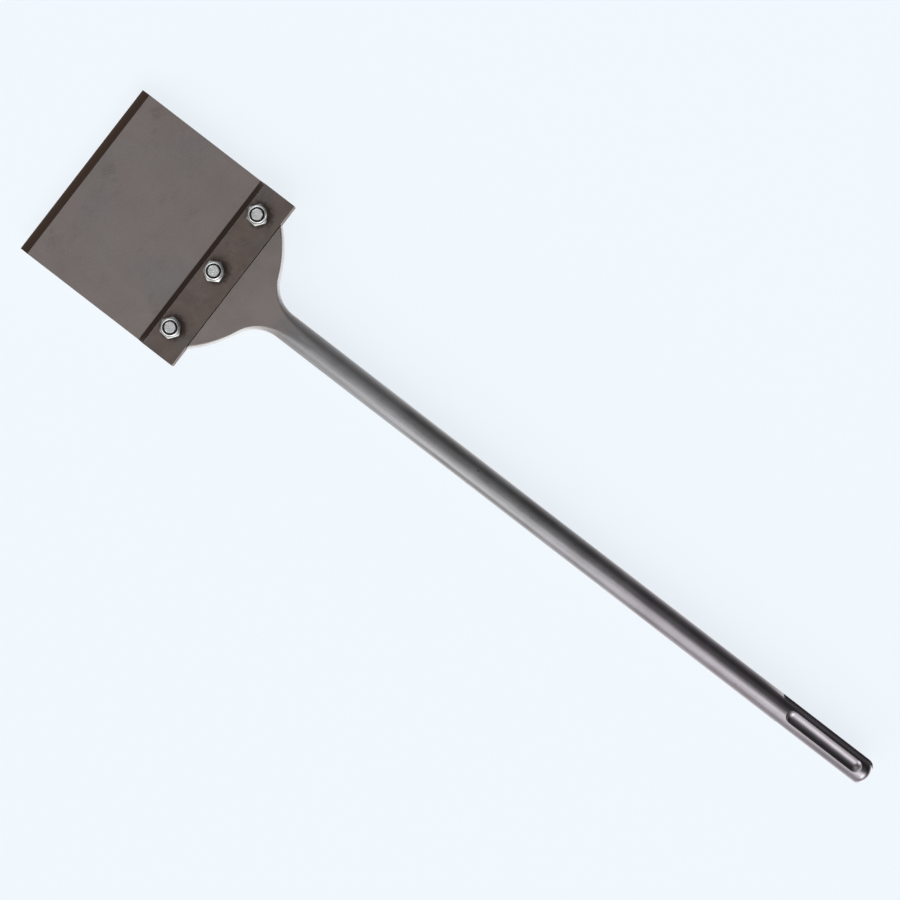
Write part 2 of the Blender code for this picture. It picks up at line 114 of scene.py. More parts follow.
class ScraperSizes(bpy.types.PropertyGroup):
    shoulder_half_width: length("Shoulder half width", "Head's half width at the blade", 0.0502)
    neck_radius: length("Neck radius", "Hollow of the head's outline", 0.0237)
    head_edge: length("Head edge radius", "Rounding of the forged head's long edges", 0.0022)
    blend_start: length("Blend start", "Behind the shoulder, where the edges soften", 0.016)
    blend_end: length("Blend end", "Behind the shoulder, where the section is round", 0.048)
    flat_rise: length("Flat rise", "Behind the shoulder, where the pressed flat rises", 0.036)
    flat_tip: length("Flat tip", "Behind the shoulder, where the pressed flat runs out", 0.063)
    flat_crease: length("Flat crease", "Softness of the flat's edges on the neck", 0.0006)
    shoulder_angle: FloatProperty(name="Shoulder angle", subtype="ANGLE", default=radians(43),
                                  description="Slope of the outline at the shoulder")
    flank_angle: FloatProperty(name="Flank angle", subtype="ANGLE", default=radians(66),
                               description="Steepest slope of the outline")
    nose_length: length("Nose length", "Slope under the tongue's front edge", 0.0064)
    nose_thickness: length("Nose thickness", "Left of the tongue at its front edge", 0.0021)
    end_face: length("Struck face radius", "Flat centre of the struck end", 0.0046)
    end_taper: length("End taper", "Length of the crowned taper round the struck face", 0.0051)
    groove_length: length("Groove length", "Closed locking groove, end to end", 0.0601)
    groove_width: length("Groove width", "Closed locking groove at the surface", 0.0085)
    groove_depth: length("Groove depth", "Closed locking groove below the surface", 0.0028)
    groove_setback: length("Groove setback", "Struck end to the locking groove", 0.0072)
    slot_depth: length("Slot depth", "Open drive slots below the surface", 0.0022)
    slot_width: length("Slot width", "Open drive slots across", 0.0049)
    single_slot: length("Single slot", "Length of the drive slot on the -Y side", 0.0687)
    paired_slot: length("Paired slots", "Length of the two drive slots on the +Y side", 0.0755)
    paired_angle: FloatProperty(name="Paired slot angle", subtype="ANGLE", default=radians(27),
                                description="From +Y up to one paired slot and down to the other")
    shank_length: length("Shank length", "Struck end to the plain rod", 0.095)
    # Length of the head's side faces that are painted bright as a reflection
    side_sheen_length: length("Trimmed length", "Shoulder to the end of the bare sides", 0.044)
    cutting_bevel: length("Cutting bevel", "Ground slope along the cutting edge", 0.0062)
    cutting_land: length("Cutting land", "Flat left on the cutting edge", 0.0003)
    clamp_bevel: length("Clamp bevel", "Slope along the clamp plate's front", 0.0042)
    clamp_land: length("Clamp land", "Upright part of the clamp plate's front", 0.0007)
    edge_break: length("Edge break", "Width of the broken edges on plates", 0.00025)
    hole_clearance: length("Hole clearance", "Bolt hole to bolt, on the radius", 0.0005)
    thread_pitch: length("Thread pitch", "Rise of the bolt thread in one turn", 0.00125)
    bolt_head: length("Bolt head height", "Height of the hexagon head", 0.0053)
    bolt_chamfer: length("Bolt end chamfer", "Chamfer round the bolt's threaded end", 0.0007)
    nut_hex: length("Nut hexagon height", "Height of the nut's hexagon below its collar", 0.0058)
    collar_step: length("Collar step", "Nut's flats to its round collar", 0.0008)
    collar_crown: length("Collar crown", "Outer rounding of the crimped collar", 0.00055)
    collar_mouth: length("Collar mouth", "Inner rounding of the crimped collar", 0.00030)
    lip_depth: length("Lip depth", "Nut's top down to the edge of its crimped lip", 0.00035)
    lip_clearance: length("Lip clearance", "Crimped lip to bolt, on the radius", 0.00065)


class ScraperColours(bpy.types.PropertyGroup):
    forged: colour("Forged head", "Blasted steel of the flat head", "#8d8582")
    rod: colour("Rod", "Polished steel of the rod", "#89898b")
    shank: colour("Shank", "Hardened steel of the shank, faintly violet", "#8e898f")
    blade: colour("Blade", "Satin hardened blade steel", "#8d8481")
    # Ground edge: part heat tint, part painted dark reflection of the unlit side the bevel faces
    ground: colour("Ground edge", "Heat-tinted steel of the ground cutting edge", "#4a3c35")
    # Scaled slope: part scale, part painted dark reflection on the clamp plate's front slope
    scale: colour("Scaled slope", "Dark scale left on the clamp plate's slope", "#352b26")
    # Dark colour for real pits on the rod, and also for painted shadow round the nuts and in the
    # fasteners' recesses
    dirt_and_shade: colour("Grime", "Oily dirt round the nuts and in pits", "#3c332e")
    clamp: colour("Clamp plate", "Dark heat-treated plate", "#726762")
    # Worn edge: rubbed steel, brightened further as a painted edge highlight
    worn_and_glint: colour("Worn edge", "Steel rubbed bright on edges", "#b5aeab")
    # Trimmed side: painted reflection, the head's side faces made bright as if mirroring the pale
    # table
    bright: colour("Trimmed side", "Bare steel where the forging's flash was trimmed", "#c2c4c6")
    zinc: colour("Zinc", "Bright zinc plating", "#eef0f1")
    # Nylon darkened so the gap inside each collar reads black: partly painted shade
    nylon: colour("Nylon", "Dark nylon of the nut inserts", "#0f0f11")
    floor: colour("Floor", "Pale studio floor", "#eff6fc")


# Modelling helpers -------------------------------------------------------------------
def pick(item):
    """Makes item the only selected object and the active one."""
    bpy.ops.object.select_all(action="DESELECT")
    item.select_set(True)
    bpy.context.view_layer.objects.active = item
    return item


def settle(item, name):
    """Names a new object and puts its place, turn and scale into its mesh."""
    pick(item)
    item.name = name
    item.data.name = name
    bpy.ops.object.transform_apply(location=True, rotation=True, scale=True)
    return item


def add_block(name, low, high):
    bpy.ops.object.select_all(action="DESELECT")
    middle = (Vector(low) + Vector(high)) / 2
    bpy.ops.mesh.primitive_cube_add(size=1.0, location=middle)
    bpy.context.object.scale = Vector(high) - Vector(low)
    return settle(bpy.context.object, name)


def add_upright(name, sides, radius, bottom, top, place=(0.0, 0.0)):
    """A prism or cylinder standing on Z at a place in the plan."""
    bpy.ops.object.select_all(action="DESELECT")
    bpy.ops.mesh.primitive_cylinder_add(vertices=sides, radius=radius, depth=top - bottom,
                                        location=(*place, (bottom + top) / 2))
    return settle(bpy.context.object, name)


def add_turned(name, profile, steps=48):
    """A shape turned round Z: a circle drawn up its (radius, height) profile and closed."""
    bpy.ops.object.select_all(action="DESELECT")
    first_radius, first_height = profile[0]
    bpy.ops.mesh.primitive_circle_add(vertices=steps, radius=first_radius, fill_type="NOTHING",
                                      location=(0.0, 0.0, first_height))
    item = settle(bpy.context.object, name)
    closed = profile[0] == profile[-1]
    bpy.ops.object.mode_set(mode="EDIT")
    bpy.ops.mesh.select_all(action="SELECT")
    if not closed:
        bpy.ops.mesh.edge_face_add()
    for (radius, height), (after, above) in zip(profile, profile[1:]):
        bpy.ops.mesh.extrude_region_move(
            TRANSFORM_OT_translate={"value": (0.0, 0.0, above - height)})
        share = after / radius
        bpy.ops.transform.resize(value=(share, share, 1.0))
    if not closed:
        bpy.ops.mesh.select_all(action="DESELECT")
        bpy.ops.mesh.select_non_manifold()
        bpy.ops.mesh.edge_face_add()
    bpy.ops.mesh.select_all(action="SELECT")
    bpy.ops.mesh.remove_doubles(threshold=0.000002)
    bpy.ops.mesh.normals_make_consistent(inside=False)
    bpy.ops.object.mode_set(mode="OBJECT")
    return item


def slice_off(item, point, outward):
    """Cuts away what lies past a plane and closes the cut."""
    pick(item)
    bpy.ops.object.mode_set(mode="EDIT")
    bpy.ops.mesh.select_all(action="SELECT")
    bpy.ops.mesh.bisect(plane_co=point, plane_no=outward, use_fill=True, clear_outer=True)
    bpy.ops.object.mode_set(mode="OBJECT")


def add_modifier(item, kind, **settings):
    """Adds a modifier, works it into the mesh and leaves none live."""
    pick(item)
    modifier = item.modifiers.new(kind.title(), kind)
    for name, value in settings.items():
        setattr(modifier, name, value)
    bpy.ops.object.modifier_apply(modifier=modifier.name)


def combine(item, tool, operation="DIFFERENCE"):
    """Cuts, joins or crosses item with tool, and removes the tool."""
    add_modifier(item, "BOOLEAN", operation=operation, solver="EXACT", object=tool)
    bpy.data.objects.remove(tool, do_unlink=True)


def break_edges(item, width, segments=2, angle=radians(35)):
    add_modifier(item, "BEVEL", width=width, segments=segments, limit_method="ANGLE",
                 angle_limit=angle, use_clamp_overlap=True)


def shade(item, angle=radians(40)):
    """Smooth shading, split at sharp edges and weighted to the large faces."""
    pick(item)
    bpy.ops.object.shade_smooth_by_angle(angle=angle)
    add_modifier(item, "WEIGHTED_NORMAL", weight=80, keep_sharp=True)


def mark(item, attribute, measure):
    """Stores on each face the share, 0 to 1, that a measure gives its centre and normal."""
    values = [float(measure(face.center, face.normal)) for face in item.data.polygons]
    layer = item.data.attributes.new(attribute, "FLOAT", "FACE")
    layer.data.foreach_set("value", values)


def place_copy(pattern, name, place, turn=0.0):
    """A copy of a pattern with its own mesh, moved and turned into place."""
    pick(pattern)
    bpy.ops.object.duplicate(linked=False)
    copy = bpy.context.object
    copy.location = place
    copy.rotation_euler = (0.0, 0.0, turn)
    return settle(copy, name)


def dress(item, material, body, slot, *nodes):
    """Gives a finished piece its material and its part in the frame."""
    item.data.materials.clear()
    item.data.materials.append(material)
    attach(item, body)
    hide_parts(*nodes)


def bolt_place(side):
    low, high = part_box(f"bolt_{side}")
    return ((low.x + high.x) / 2, (low.y + high.y) / 2)


# Materials ---------------------------------------------------------------------------
# Widths in millimetres. A blasted or rolled grain is really near 0.2 mm wide, and drawing
# marks and scratches near 0.3 mm: all are drawn coarser than that, so that they show.
GRAIN = 0.9
STREAK = 1.8
SCRATCH = 0.9
NOISE_LOW, NOISE_HIGH = 0.3, 0.7        # nearly all of a noise pattern lies between these


def add_node(tree, kind, inputs=None, **settings):
    """A node with its settings; an input is a value, a socket or a node's first output."""
    node = tree.nodes.new(kind)
    for name, value in settings.items():
        setattr(node, name, value)
    for name, value in (inputs or {}).items():
        if isinstance(value, bpy.types.Node):
            value = value.outputs[0]
        if isinstance(value, bpy.types.NodeSocket):
            tree.links.new(value, node.inputs[name])
        else:
            node.inputs[name].default_value = value
    return node


def per_mm(size):
    """The texture scale that gives features of a size in millimetres."""
    return 1000.0 / size


def opaque(rgb):
    return (*rgb, 1.0)


def new_finish(name):
    """An empty material and its node tree."""
    material = bpy.data.materials.new(name)
    material.use_nodes = True
    material.node_tree.nodes.clear()
    return material, material.node_tree


def add_surface(tree, looks, relief, strength, depth):
    """The shader with its looks, a fine relief of a depth in metres, and the output."""
    bump = add_node(tree, "ShaderNodeBump", {"Height": relief, "Strength": strength,
                                             "Distance": depth})
    shader = add_node(tree, "ShaderNodeBsdfPrincipled", {**looks, "Normal": bump})
    add_node(tree, "ShaderNodeOutputMaterial", {"Surface": shader})


def toned(tree, tint, pattern, darkest, lightest):
    """A colour made darker and lighter, between two shares of itself, by a noise pattern."""
    share = add_node(tree, "ShaderNodeMapRange", {
        "Value": pattern, "From Min": NOISE_LOW, "From Max": NOISE_HIGH,
        "To Min": darkest, "To Max": lightest})
    return add_node(tree, "ShaderNodeVectorMath", {0: tint, "Scale": share}, operation="SCALE")


def pitted(tree, where, tint, dark, reach):
    """Small dark pits in a quarter of cells 8 mm wide, no stronger than reach, 0 to 1."""
    cells = add_node(tree, "ShaderNodeTexVoronoi", {"Vector": where, "Scale": per_mm(8)})
    cell = add_node(tree, "ShaderNodeSeparateColor", {"Color": cells.outputs["Color"]})
    chosen = add_node(tree, "ShaderNodeMath", {0: cell, 1: 0.75}, operation="GREATER_THAN")
    core = add_node(tree, "ShaderNodeMapRange", {
        "Value": cells.outputs["Distance"], "From Min": 0.04, "From Max": 0.13,
        "To Min": 0.8, "To Max": 0.0})
    pit = add_node(tree, "ShaderNodeMath", {0: chosen, 1: core}, operation="MULTIPLY")
    pit = add_node(tree, "ShaderNodeMath", {0: reach, 1: pit}, operation="MULTIPLY")
    return add_node(tree, "ShaderNodeMixRGB", {"Fac": pit, "Color1": tint, "Color2": dark})


def forged_and_drawn_steel(colours):
    """Drop-forged head, shot-blasted to a fine even grain, on a drawn and polished rod.

    The head is matt and warm, its side faces painted bright as a reflection of the pale table;
    along the rod the metal turns grey, lengthwise drawing marks take over and it reflects more
    sharply."""
    material, tree = new_finish("forged and drawn steel")
    where = add_node(tree, "ShaderNodeTexCoord").outputs["Object"]
    x = add_node(tree, "ShaderNodeSeparateXYZ", {"Vector": where}).outputs["X"]

    # Patterns: clouds, grain, and streaks drawn out fifty times along the rod
    mottle = add_node(tree, "ShaderNodeTexNoise", {
        "Vector": where, "Scale": per_mm(22), "Detail": 5.0, "Roughness": 0.6})
    grain = add_node(tree, "ShaderNodeTexNoise", {
        "Vector": where, "Scale": per_mm(GRAIN), "Detail": 4.0, "Roughness": 0.65})
    drawn_out = add_node(tree, "ShaderNodeMapping", {"Vector": where, "Scale": (0.02, 1.0, 1.0)})
    streak = add_node(tree, "ShaderNodeTexNoise", {
        "Vector": drawn_out, "Scale": per_mm(STREAK), "Detail": 3.0, "Roughness": 0.6})
    stain = add_node(tree, "ShaderNodeTexNoise", {
        "Vector": where, "Scale": per_mm(9), "Detail": 4.0, "Roughness": 0.6})

    # Colour along the tool: warm head, grey rod, faintly violet shank
    drawn = add_node(tree, "ShaderNodeMapRange", {
        "Value": x, "From Min": SHOULDER_X + 0.026, "From Max": SHOULDER_X + 0.060},
        interpolation_type="SMOOTHSTEP")
    steel = add_node(tree, "ShaderNodeMixRGB", {
        "Fac": drawn, "Color1": opaque(colours.forged), "Color2": opaque(colours.rod)})
    hardened = add_node(tree, "ShaderNodeMapRange", {
        "Value": x, "From Min": -0.30, "From Max": -0.15})
    steel = add_node(tree, "ShaderNodeMixRGB", {
        "Fac": hardened, "Color1": steel, "Color2": opaque(colours.shank)})

    # Painted reflection: the head's side faces made bright as if mirroring the pale table,
    # running out at the neck
    side_sheen = add_node(tree, "ShaderNodeAttribute", attribute_name="side_sheen").outputs["Fac"]
    runs_out = add_node(tree, "ShaderNodeMapRange", {
        "Value": x, "From Min": SHOULDER_X + 0.026, "From Max": SHOULDER_X + 0.042,
        "To Min": 0.7, "To Max": 0.0})
    sheen = add_node(tree, "ShaderNodeMath", {0: side_sheen, 1: runs_out}, operation="MULTIPLY")
    steel = add_node(tree, "ShaderNodeMixRGB", {
        "Fac": sheen, "Color1": steel, "Color2": opaque(colours.bright)})

    # Clouds and grain everywhere; streaks, stains and pits on the rod only
    steel = toned(tree, steel, mottle, 0.88, 1.10)
    steel = toned(tree, steel, grain, 0.93, 1.07)
    streaky = add_node(tree, "ShaderNodeMapRange", {
        "Value": streak, "From Min": NOISE_LOW, "From Max": NOISE_HIGH,
        "To Min": -0.12, "To Max": 0.12})
    streaky = add_node(tree, "ShaderNodeMath", {0: drawn, 1: streaky, 2: 1.0},
                       operation="MULTIPLY_ADD")
    steel = add_node(tree, "ShaderNodeVectorMath", {0: steel, "Scale": streaky},
                     operation="SCALE")
    brown = add_node(tree, "ShaderNodeMapRange", {
        "Value": stain, "From Min": 0.5, "From Max": 0.75, "To Max": 0.35})
    brown = add_node(tree, "ShaderNodeMath", {0: drawn, 1: brown}, operation="MULTIPLY")
    steel = add_node(tree, "ShaderNodeMixRGB", {
        "Fac": brown, "Color1": steel, "Color2": opaque(colours.forged)})
    steel = pitted(tree, where, steel, opaque(colours.dirt_and_shade), drawn)

    # Roughness falls from the blasted head to the polished shank, uneven in the clouds
    matt = add_node(tree, "ShaderNodeMapRange", {
        "Value": x, "From Min": SHOULDER_X + 0.050, "From Max": SHOULDER_X + 0.170,
        "To Min": 0.60, "To Max": 0.34}, interpolation_type="SMOOTHSTEP")
    polish = add_node(tree, "ShaderNodeMapRange", {
        "Value": x, "From Min": SHOULDER_X + 0.170, "From Max": -0.10, "To Max": -0.14})
    uneven = add_node(tree, "ShaderNodeMapRange", {
        "Value": mottle, "From Min": NOISE_LOW, "From Max": NOISE_HIGH,
        "To Min": -0.05, "To Max": 0.05})
    rough = add_node(tree, "ShaderNodeMath", {0: matt, 1: polish}, operation="ADD")
    rough = add_node(tree, "ShaderNodeMath", {0: rough, 1: uneven}, operation="ADD")
    relief = add_node(tree, "ShaderNodeMixRGB", {
        "Fac": drawn, "Color1": grain, "Color2": streak})
    add_surface(tree, {"Base Color": steel, "Metallic": 1.0, "Roughness": rough},
                relief, 0.25, 0.00012)
    return material


def painted_nut_shadow(tree, where, tint, dark):
    """Painted shadow beside the nuts, gone a few millimetres out, heavier on one side of each,
    where their shade falls.
    """
    shift_x, shift_y = 0.0006, 0.0012   # its middle is behind and right of each bolt
    nearest = 1.0
    for side in SIDES:
        x, y = bolt_place(side)
        middle = (x + shift_x, y + shift_y, CLAMP_HIGH.z)
        reach = add_node(tree, "ShaderNodeVectorMath", {0: where, 1: middle},
                         operation="DISTANCE")
        nearest = add_node(tree, "ShaderNodeMath", {0: reach.outputs["Value"], 1: nearest},
                           operation="MINIMUM")
    ragged = add_node(tree, "ShaderNodeTexNoise", {
        "Vector": where, "Scale": per_mm(2.5), "Detail": 4.0, "Roughness": 0.6})
    ragged = add_node(tree, "ShaderNodeMapRange", {
        "Value": ragged, "From Min": NOISE_LOW, "From Max": NOISE_HIGH,
        "To Min": -0.0015, "To Max": 0.0015})
    edge = add_node(tree, "ShaderNodeMath", {0: nearest, 1: ragged}, operation="ADD")
    dirt_and_shade = add_node(tree, "ShaderNodeMapRange", {
        "Value": edge, "From Min": 0.0062, "From Max": 0.0105, "To Min": 0.75, "To Max": 0.0},
        interpolation_type="SMOOTHSTEP")
    return add_node(tree, "ShaderNodeMixRGB", {"Fac": dirt_and_shade, "Color1": tint, "Color2": dark})


def plate_steel(name, colours, face, dark, cloud_mm, contrast, roughness, nut_shadow):
    """Rolled and heat-treated plate: satin grain, faint clouds between warm and grey, a few
    rubbed smudges, dark slopes that are part tint and part painted dark reflection, edges rubbed
    bright with a painted highlight, and, where asked, painted shadow round the nuts."""
    material, tree = new_finish(name)
    where = add_node(tree, "ShaderNodeTexCoord").outputs["Object"]
    cloud = add_node(tree, "ShaderNodeTexNoise", {
        "Vector": where, "Scale": per_mm(cloud_mm), "Detail": 6.0, "Roughness": 0.6,
        "Distortion": 0.4})
    tint = add_node(tree, "ShaderNodeTexNoise", {
        "Vector": where, "Scale": per_mm(cloud_mm * 1.4), "Detail": 3.0, "Distortion": 0.3})
    grain = add_node(tree, "ShaderNodeTexNoise", {
        "Vector": where, "Scale": per_mm(GRAIN), "Detail": 3.0, "Roughness": 0.6})

    # Warm steel with greyer clouds
    grey = sum(face) / 3
    greyed = add_node(tree, "ShaderNodeMapRange", {
        "Value": tint, "From Min": 0.45, "From Max": 0.70, "To Max": 0.5})
    steel = add_node(tree, "ShaderNodeMixRGB", {
        "Fac": greyed, "Color1": opaque(face), "Color2": (grey * 0.99, grey, grey * 1.01, 1.0)})
    steel = toned(tree, steel, cloud, 1.0 - contrast, 1.0 + contrast)
    steel = toned(tree, steel, grain, 0.92, 1.08)

    # Rubbed smudges: patches of faint scratches that slant across the plate
    slanted = add_node(tree, "ShaderNodeMapping", {
        "Vector": where, "Rotation": (0.0, 0.0, radians(35))})
    slanted = add_node(tree, "ShaderNodeMapping", {
        "Vector": slanted, "Scale": (1.0, 0.05, 1.0)})
    scratch = add_node(tree, "ShaderNodeTexNoise", {
        "Vector": slanted, "Scale": per_mm(SCRATCH), "Detail": 3.0, "Roughness": 0.6})
    across = add_node(tree, "ShaderNodeMapping", {
        "Vector": where, "Rotation": (0.0, 0.0, radians(-20))})
    across = add_node(tree, "ShaderNodeMapping", {"Vector": across, "Scale": (1.0, 0.6, 1.0)})
    smudge = add_node(tree, "ShaderNodeTexNoise", {
        "Vector": across, "Scale": per_mm(14), "Detail": 3.0, "Roughness": 0.6})
    patch = add_node(tree, "ShaderNodeMapRange", {
        "Value": smudge, "From Min": 0.56, "From Max": 0.78})
    lines = add_node(tree, "ShaderNodeMapRange", {
        "Value": scratch, "From Min": 0.40, "From Max": 0.62, "To Max": 0.45})
    rubbed = add_node(tree, "ShaderNodeMath", {0: patch, 1: lines}, operation="MULTIPLY")
    steel = add_node(tree, "ShaderNodeMixRGB", {
        "Fac": rubbed, "Color1": steel, "Color2": opaque(dark)})
    # Painted shadow round the nuts, darker on the side where their shade falls
    if nut_shadow:
        steel = painted_nut_shadow(tree, where, steel, opaque(colours.dirt_and_shade))

    # Dark slopes, part tint and part painted dark reflection, and edges rubbed bright with a
    # painted highlight, on the faces marked for them
    slope = add_node(tree, "ShaderNodeAttribute", attribute_name="ground").outputs["Fac"]
    steel = add_node(tree, "ShaderNodeMixRGB", {
        "Fac": slope, "Color1": steel, "Color2": opaque(dark)})
    edge = add_node(tree, "ShaderNodeAttribute", attribute_name="worn_and_glint").outputs["Fac"]
    wear_and_glint = add_node(tree, "ShaderNodeMath", {0: edge, 1: 0.6}, operation="MULTIPLY")
    steel = add_node(tree, "ShaderNodeMixRGB", {
        "Fac": wear_and_glint, "Color1": steel, "Color2": opaque(colours.worn_and_glint)})
    rough = add_node(tree, "ShaderNodeMapRange", {
        "Value": cloud, "From Min": NOISE_LOW, "From Max": NOISE_HIGH,
        "To Min": roughness + 0.04, "To Max": roughness - 0.04})
    add_surface(tree, {"Base Color": steel, "Metallic": 1.0, "Roughness": rough},
                grain, 0.2, 0.0001)
    return material


def zinc_plate(colours):
    """Bright electroplated zinc: silvery and faintly cloudy, with painted shade in the threads,
    the nut's bore and on the hexagon's facets, and coarse on a cropped bolt end."""
    material, tree = new_finish("bright zinc plating")
    where = add_node(tree, "ShaderNodeTexCoord").outputs["Object"]
    cloud = add_node(tree, "ShaderNodeTexNoise", {
        "Vector": where, "Scale": per_mm(1.8), "Detail": 4.0, "Roughness": 0.6})
    marks = add_node(tree, "ShaderNodeTexNoise", {
        "Vector": where, "Scale": per_mm(0.7), "Detail": 2.0, "Roughness": 0.6})
    zinc = toned(tree, tuple(colours.zinc), cloud, 0.84, 1.0)
    # Painted shade: threads, bore and hexagon facets darkened towards the dark colour
    recess_shade = add_node(tree, "ShaderNodeAttribute", attribute_name="recess_shade").outputs["Fac"]
    zinc = add_node(tree, "ShaderNodeMixRGB", {
        "Fac": recess_shade, "Color1": zinc, "Color2": opaque(colours.dirt_and_shade)})
    rough = add_node(tree, "ShaderNodeMapRange", {
        "Value": cloud, "From Min": NOISE_LOW, "From Max": NOISE_HIGH,
        "To Min": 0.24, "To Max": 0.14})
    cropped = add_node(tree, "ShaderNodeAttribute", attribute_name="cropped").outputs["Fac"]
    coarse = add_node(tree, "ShaderNodeMapRange", {
        "Value": cropped, "To Min": 0.3, "To Max": 1.6})
    relief = add_node(tree, "ShaderNodeMath", {0: marks, 1: coarse}, operation="MULTIPLY")
    add_surface(tree, {"Base Color": zinc, "Metallic": 1.0, "Roughness": rough},
                relief, 0.6, 0.00025)
    return material


def moulded_nylon(colours):
    """Near-black nylon ring, dark enough to stand in for the shade in the gap inside each collar:
    smooth, slightly waxy, with a faint drag from the thread.
    """
    material, tree = new_finish("moulded nylon")
    where = add_node(tree, "ShaderNodeTexCoord").outputs["Object"]
    drag = add_node(tree, "ShaderNodeTexNoise", {
        "Vector": where, "Scale": per_mm(0.6), "Detail": 4.0, "Roughness": 0.6})
    rough = add_node(tree, "ShaderNodeMapRange", {
        "Value": drag, "From Min": NOISE_LOW, "From Max": NOISE_HIGH,
        "To Min": 0.5, "To Max": 0.7})
    add_surface(tree, {"Base Color": opaque(colours.nylon), "IOR": 1.53, "Roughness": rough},
                drag, 0.15, 0.0001)
    return material


def pale_floor(colours):
    """Even, matt studio floor that glows a little, so that shadows on it stay soft."""
    material, tree = new_finish("pale studio floor")
    shader = add_node(tree, "ShaderNodeBsdfPrincipled", {
        "Base Color": opaque([0.2 * part for part in colours.floor]), "Roughness": 0.9,
        "Specular IOR Level": 0.0,
        "Emission Color": opaque(colours.floor), "Emission Strength": 0.84})
    add_node(tree, "ShaderNodeOutputMaterial", {"Surface": shader})
    return material


# Body --------------------------------------------------------------------------------
class HeadOutline:
    """Half width of the head: a bulging arc, then a hollow arc that runs into the rod."""

    def __init__(self, sizes):
        self.sizes = sizes
        flank, shoulder = sizes.flank_angle, sizes.shoulder_angle
        self.flank_y = ROD_RADIUS + sizes.neck_radius * (1 - cos(flank))
        rise = sizes.shoulder_half_width - self.flank_y
        chord_angle = (flank + shoulder) / 2
        self.flank = rise / tan(chord_angle)
        self.bulge = rise / sin(chord_angle) / (2 * sin((flank - shoulder) / 2))
        self.bulge_x = self.flank - self.bulge * sin(flank)
        self.bulge_y = self.flank_y - self.bulge * cos(flank)
        self.neck = self.flank + sizes.neck_radius * sin(flank)

    def half_width(self, behind):
        """Half width at a distance behind the shoulder, negative ahead of it."""
        if behind >= self.neck:
            return ROD_RADIUS
        if behind >= self.flank:
            run = self.neck - behind
            return ROD_RADIUS + self.sizes.neck_radius - sqrt(self.sizes.neck_radius ** 2
                                                              - run ** 2)
        run = behind - self.bulge_x
        return min(BODY_HIGH.y, self.bulge_y + sqrt(self.bulge ** 2 - run ** 2))

    def stations(self, steps=24):
        """Distances behind the shoulder at which the head gets a section."""
        full = self.bulge_x + sqrt(self.bulge ** 2 - (BODY_HIGH.y - self.bulge_y) ** 2)
        flank = self.sizes.flank_angle
        places = [BODY_LOW.x - SHOULDER_X]
        places += [full + (self.flank - full) * at / steps for at in range(steps)]
        places += [self.neck - self.sizes.neck_radius * sin(flank * (1 - at / steps))
                   for at in range(steps + 1)]
        past_flat = 0.008               # sections go on a little past the pressed flat
        round_from = max(self.sizes.blend_end, self.sizes.flat_tip + past_flat)
        places += [self.neck + (round_from - self.neck) * at / steps
                   for at in range(1, steps + 1)]
        return places


def arc_steps(start, end, steps):
    """Evenly spaced angles from start to end, both included."""
    return [start + (end - start) * at / steps for at in range(steps + 1)]


def smooth_step(value, start, end):
    share = min(max((value - start) / (end - start), 0.0), 1.0)
    return share * share * (3 - 2 * share)


def soft_limit(value, limit, softness):
    """The value where it is under the limit, else the limit, with a rounded change."""
    near = max(softness - abs(value - limit), 0.0)
    return min(value, limit) - near * near / (4 * softness)


def section(x, half_width, half_height, corner, flat=None, crease=0.001, steps=24):
    """Points of a rounded rectangle across the tool, turning from +Y towards +Z.

    A flat cuts it off above and below at that height, with softened creases."""
    points = []
    for quarter, (side, up) in enumerate(((1, 1), (-1, 1), (-1, -1), (1, -1))):
        for step in range(steps + 1):
            angle = (quarter + step / steps) * pi / 2
            height = half_height - corner + corner * abs(sin(angle))
            if flat is not None:
                height = soft_limit(height, flat, crease)
            points.append(Vector((x, side * (half_width - corner) + corner * cos(angle),
                                  up * height)))
    return points


def body_sections(sizes):
    """Sections from the tongue's front edge, through the neck, to the struck end."""
    outline = HeadOutline(sizes)
    sections = []
    for behind in outline.stations():
        blend = smooth_step(behind, sizes.blend_start, sizes.blend_end)
        half_height = HEAD_TOP + (ROD_RADIUS - HEAD_TOP) * blend
        half_width = outline.half_width(behind)
        corner = sizes.head_edge + (ROD_RADIUS - sizes.head_edge) * blend
        rise = max(behind - sizes.flat_rise, 0.0) / (sizes.flat_tip - sizes.flat_rise)
        flat = HEAD_TOP + (ROD_RADIUS - HEAD_TOP) * rise if behind > sizes.blend_start else None
        sections.append(section(SHOULDER_X + behind, half_width, half_height,
                                min(corner, half_width, half_height), flat,
                                sizes.flat_crease * blend))
    sections.append(section(-sizes.shank_length, ROD_RADIUS, ROD_RADIUS, ROD_RADIUS))
    fullness = 0.85                     # 1 would crown the end as a plain ellipse
    for turn in arc_steps(0.0, pi / 2, 8):
        radius = sizes.end_face + (ROD_RADIUS - sizes.end_face) * cos(turn) ** fullness
        sections.append(section(-sizes.end_taper * (1 - sin(turn)), radius, radius, radius))
    return sections


def loft(name, sections):
    """A circle extruded station by station, each new ring set on its section's points."""
    bpy.ops.object.select_all(action="DESELECT")
    bpy.ops.mesh.primitive_circle_add(vertices=len(sections[0]), fill_type="NGON")
    item = settle(bpy.context.object, name)
    bpy.ops.object.mode_set(mode="EDIT")
    shape = bmesh.from_edit_mesh(item.data)
    ring = list(shape.verts)
    for at, points in enumerate(sections):
        if at:
            bpy.ops.mesh.extrude_region_move()
            shape = bmesh.from_edit_mesh(item.data)
            drawn_from = {vert.index: edge.other_vert(vert)
                          for vert in shape.verts if not vert.select
                          for edge in vert.link_edges if edge.other_vert(vert).select}
            ring = [drawn_from[index] for index in order]
        for vert, point in zip(ring, points):
            vert.co = point
        shape.verts.index_update()
        order = [vert.index for vert in ring]
        bmesh.update_edit_mesh(item.data)
    bpy.ops.mesh.select_all(action="DESELECT")
    bpy.ops.mesh.select_non_manifold()
    bpy.ops.mesh.edge_face_add()
    bpy.ops.mesh.select_all(action="SELECT")
    bpy.ops.mesh.remove_doubles(threshold=0.000001)
    bpy.ops.mesh.normals_make_consistent(inside=False)
    bpy.ops.object.mode_set(mode="OBJECT")
    return item


